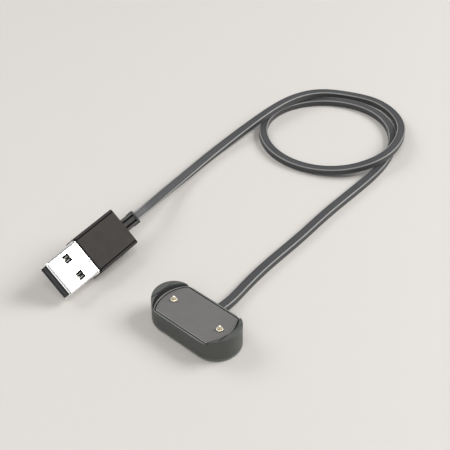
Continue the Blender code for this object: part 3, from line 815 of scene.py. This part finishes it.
def section_material(first, second):
    """Index of the jacket, its corners and rib tops with a painted highlight, or the shadowed grooves."""
    x = abs(first[0] + second[0]) / 2
    z = abs(first[1] + second[1]) / 2
    in_groove = CABLE_WIDTH / 2 - CABLE_RIB - CABLE_GROOVE < x < CABLE_WIDTH / 2 - CABLE_RIB
    if in_groove and z > 0:
        return 2
    on_corner = x > CABLE_WIDTH / 2 - CABLE_CORNER and z > CABLE_HEIGHT / 2 - CABLE_CORNER
    return 1 if on_corner or x > CABLE_WIDTH / 2 - CABLE_RIB and z > CABLE_HEIGHT / 3 else 0


def add_cable(rubber, edge_highlight, shadowed):
    line = smooth_curve(CABLE_ROUTE, CABLE_RINGS)
    frames = cable_frames(line)
    plug = plug_matrix().to_3x3()
    for index, end, inwards in ((0, frames[0], Vector((0, -1, 0))),
                                (len(frames), frames[-1], -(plug @ Vector((0, 1, 0))))):
        centre, across, up = end
        reach = GAP + 0.9 * CABLE_SOCKET
        frames.insert(index, (centre + inwards * reach, across, up))
    section = cable_section()
    rings = [[centre + across * x + up * z for x, z in section] for centre, across, up in frames]
    bm = skin(rings)
    count = len(section)
    strand = bm.verts.layers.float_vector.new("strand")
    bm.verts.ensure_lookup_table()
    step = float(np.linalg.norm(np.diff(line, axis=0), axis=1).mean())
    around = [math.hypot(b[0] - a[0], b[1] - a[1]) for a, b in zip(section, section[1:])]
    around = np.concatenate(([0.0], np.cumsum(around))) * 1000
    for index, vert in enumerate(bm.verts):
        ring, spot = divmod(index, count)
        vert[strand] = (ring * step * 10, around[spot], 0)
    kinds = [section_material(first, second)
             for first, second in zip(section, section[1:] + section[:1])]
    bm.faces.ensure_lookup_table()
    for index in range(count * (len(frames) - 1)):
        bm.faces[index].material_index = kinds[index % count]
    cable = add_piece("flat_cable_jacket", bm, (rubber, edge_highlight, shadowed),
                      ["charging_cable"])
    return cable, line


# ---- Plug ----
def shell_material(centre, normal):
    """Index of the bright shell or the duller ribs behind its windows."""
    across = abs(abs(abs(centre.x) - WINDOW_X) - RIB_X)
    depth = SHELL_HEIGHT / 2 - SHELL_WALL - centre.z
    on_rib = across < 1.1 * RIB_HALF_WIDTH and abs(centre.y - WINDOW_Y) < RIB_HALF_LENGTH + 0.0001
    return 1 if on_rib and 0.00005 < depth < 0.0007 else 0


def add_usb_shell(place, steel, rib_steel):
    flange_end = GRIP_START - GAP
    flange_start = flange_end - FLANGE_LENGTH
    width, height, corner = SHELL_WIDTH, SHELL_HEIGHT, SHELL_CORNER
    lip = [(0.0, 0.00042), (0.00006, 0.00028), (0.00018, 0.00018), (0.0004, 0.0001),
           (0.00085, 0.00003), (0.0009, 0.0)]
    sections = [(y, width - 2 * inset, height - 2 * inset, corner) for y, inset in lip]
    sections += [(flange_start - 0.00012, width, height, corner),
                 (flange_start, FLANGE_WIDTH - 0.0002, FLANGE_HEIGHT - 0.0002, corner),
                 (flange_start + 0.00008, FLANGE_WIDTH, FLANGE_HEIGHT, corner + 0.0001),
                 (flange_end - 0.00006, FLANGE_WIDTH, FLANGE_HEIGHT, corner + 0.0001),
                 (flange_end, FLANGE_WIDTH - 0.0002, FLANGE_HEIGHT - 0.0002, corner),
                 (flange_end + 0.00004, width, height, corner),
                 (SHELL_LENGTH, width, height, corner)]
    body = lengthwise(sections)
    wall = SHELL_WALL
    inner_corner = corner - wall
    bore = lengthwise([(-0.001, width - 2 * wall + 0.0001, height - 2 * wall + 0.0001, inner_corner),
                       (0.0, width - 2 * wall - 0.0003, height - 2 * wall - 0.0003, inner_corner),
                       (0.0004, width - 2 * wall, height - 2 * wall, inner_corner),
                       (SHELL_LENGTH + 0.001, width - 2 * wall, height - 2 * wall, inner_corner)])
    tools = [bore]
    for sign in (-1, 1):
        window = upright(lambda inset: rounded_rectangle(WINDOW_SIZE, WINDOW_SIZE, 0.00018, 3),
                         [(-0.004, 0), (0.004, 0)])
        tools.append(moved(window, (sign * WINDOW_X, WINDOW_Y, 0)))
        dimple = bmesh.new()
        bmesh.ops.create_uvsphere(dimple, u_segments=24, v_segments=12, radius=0.0006)
        tools.append(moved(dimple, (sign * 0.0006, 0.0102, height / 2 + 0.0005)))
    # the seam where the rolled strip meets itself, with one dovetail, on the far side
    seam = ((0.0, 0.0045, 0.0), (0.0045, 0.0075, 0.0009), (0.0075, flange_start, 0.0))
    for start, end, side in seam:
        tools.append(box_solid((side - 0.00004, start - 0.00004, -0.003),
                               (side + 0.00004, end + 0.00004, -height / 2 + 0.00012)))
    for y in (0.0045, 0.0075):
        tools.append(box_solid((-0.00004, y - 0.00004, -0.003),
                               (0.00094, y + 0.00004, -height / 2 + 0.00012)))
    # two narrow ribs under the wall show through each window
    inside = height / 2 - wall
    ribs = []
    for x in (-WINDOW_X - RIB_X, -WINDOW_X + RIB_X, WINDOW_X - RIB_X, WINDOW_X + RIB_X):
        low_x, high_x = x - RIB_HALF_WIDTH, x + RIB_HALF_WIDTH
        ribs.append(box_solid((low_x, WINDOW_Y - RIB_HALF_LENGTH, inside - RIB_DEPTH[1]),
                              (high_x, WINDOW_Y + RIB_HALF_LENGTH, inside - RIB_DEPTH[0])))
        # a foot at each end joins the rib to the wall
        for end in (-1, 1):
            foot = sorted((WINDOW_Y + end * 0.0015, WINDOW_Y + end * RIB_HALF_LENGTH))
            ribs.append(box_solid((low_x, foot[0], inside - 0.0004),
                                  (high_x, foot[1], inside + 0.00002)))
    shell = carve(carve(body, *tools), *ribs, operation="UNION")
    add_piece("usb_plug_shell", shell, (steel, rib_steel), ["usb_shell"],
              place=place, pick=shell_material)


def add_tongue_and_contacts(place, insulator, gold):
    low = -SHELL_HEIGHT / 2 + SHELL_WALL + GAP / 2
    width, thickness = 0.0110, 0.0017
    start, length = 0.0006, 0.0162
    tongue = moved(rounded_block(width, thickness, 0.00012, start, start + length, 0.0002, 0.0001),
                   (0, 0, low + thickness / 2))
    contacts = (("1", 0.0035, 0.0014), ("2", 0.0010, 0.0024),
                ("3", -0.0010, 0.0024), ("4", -0.0035, 0.0014))
    contact_end = 0.0165
    top = low + thickness
    channels = [box_solid((x - 0.0005, y - 0.0003, top - 0.0002), (x + 0.0005, 0.02, top + 0.001))
                for number, x, y in contacts]
    add_piece("usb_tongue_moulding", carve(tongue, *channels), (insulator,),
              ["usb_tongue"], place=place)
    for number, x, y in contacts:
        strip = moved(rounded_block(0.0008, 0.0002, 0.00006, y, contact_end, 0.00008, 0.00005),
                      (x, 0, top + 0.00025))
        add_piece("usb_contact_strip_" + number, strip, (gold,),
                  ["usb_contact_" + number], place=place)


def grip_material(centre, normal):
    """Index of the matt grip, the smoother strips along its long edges, painted a little darker as shade,
    or the grooves' shadow.
    """
    x, z = abs(centre.x), abs(centre.z)
    in_length = GRIP_START < centre.y < GRIP_END
    if in_length and abs(x - GROOVE_X) < 0.7 * GROOVE_WIDTH and z > GRIP_THICKNESS / 2 - 0.0004:
        on_face = z > GRIP_THICKNESS / 2 - 0.00002
        return 0 if on_face else 2
    return 1 if in_length and x > GROOVE_X else 0


def add_grip(place, plastic, strip, shadowed):
    """The moulded grip, with a groove along both edges of its broad faces."""
    grip = rounded_block(GRIP_WIDTH, GRIP_THICKNESS, GRIP_RADIUS, GRIP_START, GRIP_END,
                         0.00030, 0.00045)
    half = GRIP_THICKNESS / 2
    tools = []
    for sign in (-1, 1):
        for face in (-1, 1):
            across = sorted((sign * (GROOVE_X - GROOVE_WIDTH / 2),
                             sign * (GROOVE_X + GROOVE_WIDTH / 2)))
            height = sorted((face * (half - GROOVE_DEPTH), face * (half + 0.001)))
            tools.append(box_solid((across[0], GRIP_START - 0.001, height[0]),
                                   (across[1], GRIP_END + 0.001, height[1])))
        # the parting line of the two mould halves
        side = sorted((sign * (GRIP_WIDTH / 2 - 0.00008), sign * (GRIP_WIDTH / 2 + 0.001)))
        tools.append(box_solid((side[0], GRIP_START - 0.001, -0.00006),
                               (side[1], GRIP_END + 0.001, 0.00006)))
    pocket_end = GRIP_START + 0.0044
    outlet = (RELIEF_WIDTH + 0.0004, RELIEF_HEIGHT + 0.0004, 0.0007)
    tools.append(lengthwise([(GRIP_START - 0.001, 0.0126, 0.0051, 0.0008),
                             (pocket_end, 0.0126, 0.0051, 0.0008)]))
    tools.append(lengthwise([(GRIP_START, 0.0114, 0.0043, 0.0005),
                             (0.0279, 0.0114, 0.0043, 0.0005)]))
    tools.append(lengthwise([(pocket_end, *outlet), (GRIP_END + 0.001, *outlet)]))
    add_piece("plug_grip_moulding", carve(grip, *tools), (plastic, strip, shadowed),
              ["plug_overmould"], place=place, pick=grip_material)


def relief_outline(width, height, corner, groove):
    """A bar's section with two grooves in each broad face; groove is how deep they are."""
    half_width, half_height = width / 2, height / 2
    centre = (half_width - corner, half_height - corner)
    quarter = arc(centre, corner, 0, math.pi / 2, 5)
    quarter += [(0.00128, half_height), (0.00118, half_height - groove),
                (0.00072, half_height - groove), (0.00062, half_height)]
    return four_fold(quarter)


def relief_material(centre, normal):
    """Index of the rubber, its corners with a painted highlight or the grooves' shadow."""
    x, z = abs(centre.x), abs(centre.z)
    if 0.00060 < x < 0.00130 and RELIEF_HEIGHT / 2 - 0.00042 < z < RELIEF_HEIGHT / 2 - 0.00002:
        return 2
    return 1 if x > 0.00128 and z > RELIEF_HEIGHT / 2 - 0.00046 else 0


def add_strain_relief(place, rubber, edge_highlight, shadowed):
    width, height = RELIEF_WIDTH, RELIEF_HEIGHT
    lip = RELIEF_END - 0.0008
    flange_end = RELIEF_START + 0.0008
    flange = (0.0058, 0.0037, 0.0004, 0.0)
    parts = ((RELIEF_START, *flange), (flange_end, *flange),
             (flange_end + 0.00002, width, height, 0.00045, 0.0),
             (GRIP_END - 0.0002, width, height, 0.00045, 0.0004),
             (lip - 0.0003, width, height, 0.00045, 0.0004),
             (lip - 0.0001, width, height, 0.00045, 0.0),
             (lip, width + 0.0004, height + 0.0004, 0.0005, 0.0),
             (RELIEF_END - 0.00015, width + 0.0004, height + 0.0004, 0.0005, 0.0),
             (RELIEF_END, width + 0.0001, height + 0.0001, 0.0004, 0.0))
    rings = []
    for y, wide, high, corner, groove in parts:
        rings.append([(x, y, z) for x, z in relief_outline(wide, high, corner, groove)])
    socket_size = (CABLE_WIDTH + 0.0001, CABLE_HEIGHT + 0.0001, 0.0003)
    socket = lengthwise([(RELIEF_END - CABLE_SOCKET, *socket_size),
                         (RELIEF_END + 0.001, *socket_size)])
    add_piece("plug_strain_relief_ribbed", carve(skin(rings), socket),
              (rubber, edge_highlight, shadowed), ["plug_strain_relief"],
              place=place, pick=relief_material)


# ---- Stage ----
def add_camera():
    data = bpy.data.cameras.new("camera")
    data.lens = CAMERA_LENS
    data.sensor_width = 36.0
    data.clip_start = 0.01
    data.clip_end = 20
    camera = bpy.data.objects.new("camera", data)
    bpy.context.collection.objects.link(camera)
    camera.location = CAMERA_PLACE
    camera.rotation_euler = (CAMERA_TILT, 0, CAMERA_TURN)
    bpy.context.scene.camera = camera


def add_floor():
    bm = bmesh.new()
    bmesh.ops.create_grid(bm, x_segments=1, y_segments=1, size=3.0)
    mesh = bpy.data.meshes.new("floor")
    bm.to_mesh(mesh)
    bm.free()
    floor = bpy.data.objects.new("floor", mesh)
    bpy.context.collection.objects.link(floor)
    surface = Surface("floor_paper")
    surface.shader.inputs["Base Color"].default_value = seen(190, 186, 181)
    surface.shader.inputs["Roughness"].default_value = 0.55
    mesh.materials.append(surface.material)


def add_area_light(name, direction, distance, size, power):
    centre = Vector((-0.02, 0.05, 0.0))
    data = bpy.data.lights.new(name, "AREA")
    data.shape = "RECTANGLE"
    data.size, data.size_y = size
    data.energy = power
    light = bpy.data.objects.new(name, data)
    bpy.context.collection.objects.link(light)
    light.location = centre + Vector(direction).normalized() * distance
    light.rotation_mode = "QUATERNION"
    light.rotation_quaternion = (centre - light.location).to_track_quat("-Z", "Y")


def add_lights():
    add_area_light("key", (0.45, 0.63, 0.63), 1.0, (0.55, 0.55), 11)
    add_area_light("left_fill", (-0.8, -0.2, 0.7), 1.0, (0.7, 0.5), 4)
    add_area_light("front_fill", (0.4, -0.8, 0.8), 1.1, (0.8, 0.8), 4)
    add_area_light("overhead", (0.25, -0.25, 0.93), 0.9, (0.12, 0.12), 1.2)
    world = bpy.data.worlds.new("studio")
    world.use_nodes = True
    background = world.node_tree.nodes["Background"]
    background.inputs["Color"].default_value = (0.80, 0.82, 0.84, 1)
    background.inputs["Strength"].default_value = 0.40
    bpy.context.scene.world = world
    bpy.context.scene.view_settings.view_transform = "Standard"


# ---- Assembly ----
def build():
    # the dock's plastic, with a painted highlight along its foot
    dock_plastic = foot_highlight_plastic("dock_plastic_foot_highlight", seen(72, 74, 71), seen(104, 107, 103),
                                0.0014)
    # painted shade on the crescents' inner walls, darkest at -Y
    dock_wall_shade = wall_shade_plastic("dock_plastic_wall_painted_shade", seen(18, 18, 18), seen(66, 68, 66), 0.0055)
    # paler, glossier plastic on the dock's rounded edges: painted highlight
    dock_edge_highlight = moulded_plastic("dock_plastic_edge_highlight", seen(132, 133, 130), 0.34, texture=0.1)
    face_plastic = moulded_plastic("face_plastic_fine", seen(95, 93, 91), 0.58)
    # paler, glossier plastic on the plate's rounded edge: painted highlight
    face_edge_highlight = moulded_plastic("face_plastic_edge_highlight", seen(146, 146, 142), 0.36, texture=0.1)
    grip_plastic = moulded_plastic("grip_plastic_matt", seen(56, 53, 51), 0.74, specular=0.15)
    # smoother plastic on the grip's edge strips and sides, a little darker as painted shade
    grip_strip_shaded = moulded_plastic("grip_plastic_smooth_shaded", seen(50, 48, 46), 0.60, texture=0.1,
                                 specular=0.15)
    shadowed = moulded_plastic("unlit_gap_plastic", seen(16, 16, 16), 0.80, specular=0.05)
    soft_pad = moulded_plastic("base_pad_soft", seen(58, 58, 58), 0.75, texture=0.6)
    rubber = cable_rubber("cable_rubber_drawn", seen(64, 64, 65), 0.50, specular=0.3)
    # paler, glossier rubber on the cable's corners and rib tops: painted highlight
    rubber_edge_highlight = cable_rubber("cable_rubber_edge_highlight", seen(118, 118, 116), 0.34)
    # near black rubber in the cable's grooves: painted shade
    groove_shade_rubber = cable_rubber("cable_rubber_groove_shade", seen(30, 30, 30), 0.60, specular=0.1)
    relief_rubber = moulded_plastic("relief_rubber", seen(37, 37, 35), 0.55, specular=0.2)
    # paler rubber on the relief's corners: painted highlight
    relief_edge_highlight = moulded_plastic("relief_rubber_edge_highlight", seen(66, 65, 62), 0.55, texture=0.1,
                                  specular=0.15)
    shell_steel = plated_steel("shell_steel_bright", seen(246, 246, 246), 0.20, (5200, 90, 5200))
    rib_steel = plated_steel("rib_steel", seen(96, 96, 96), 0.40, (5200, 90, 5200))
    spring_wire = plated_steel("spring_wire", seen(190, 190, 194), 0.28, (3000, 3000, 3000))
    magnet_plate = plated_steel("magnet_nickel", seen(200, 200, 205), 0.25, (900, 900, 900))
    clamp_steel = plated_steel("clamp_steel", seen(205, 205, 205), 0.30, (4000, 300, 4000))
    gold = plated_gold("contact_gold_plated")
    insulator = insulating_plastic("tongue_insulator", seen(52, 52, 54))
    lead_red = insulating_plastic("lead_insulation_red", seen(176, 34, 32))
    lead_black = insulating_plastic("lead_insulation_black", seen(30, 30, 31))

    add_dock_shell(dock_plastic, dock_edge_highlight, shadowed, dock_wall_shade)
    add_face_plate(face_plastic, face_edge_highlight, shadowed)
    add_base_cover(dock_plastic, soft_pad)
    add_gland(relief_rubber)
    add_pin("left", -1, gold, spring_wire)
    add_pin("right", 1, gold, spring_wire)
    cable, line = add_cable(rubber, rubber_edge_highlight, groove_shade_rubber)
    place = plug_matrix()
    add_usb_shell(place, shell_steel, rib_steel)
    add_tongue_and_contacts(place, insulator, gold)
    add_grip(place, grip_plastic, grip_strip_shaded, shadowed)
    add_strain_relief(place, relief_rubber, relief_edge_highlight, shadowed)

    # the CAD nodes that stay as they are, with their detailed materials
    kept = {
        "circuit_board": laminate("board_resist"), "board_fuse": insulator,
        "magnet_left": magnet_plate, "magnet_right": magnet_plate,
        "dock_lead_positive": lead_red, "dock_lead_negative": lead_black,
        "plug_lead_positive": lead_red, "plug_lead_negative": lead_black,
        "plug_inner_mould": insulator, "plug_cable_clamp": clamp_steel,
    }
    for name, material in kept.items():
        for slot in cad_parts[name].material_slots:
            slot.material = material


add_camera()
add_floor()
add_lights()
build()
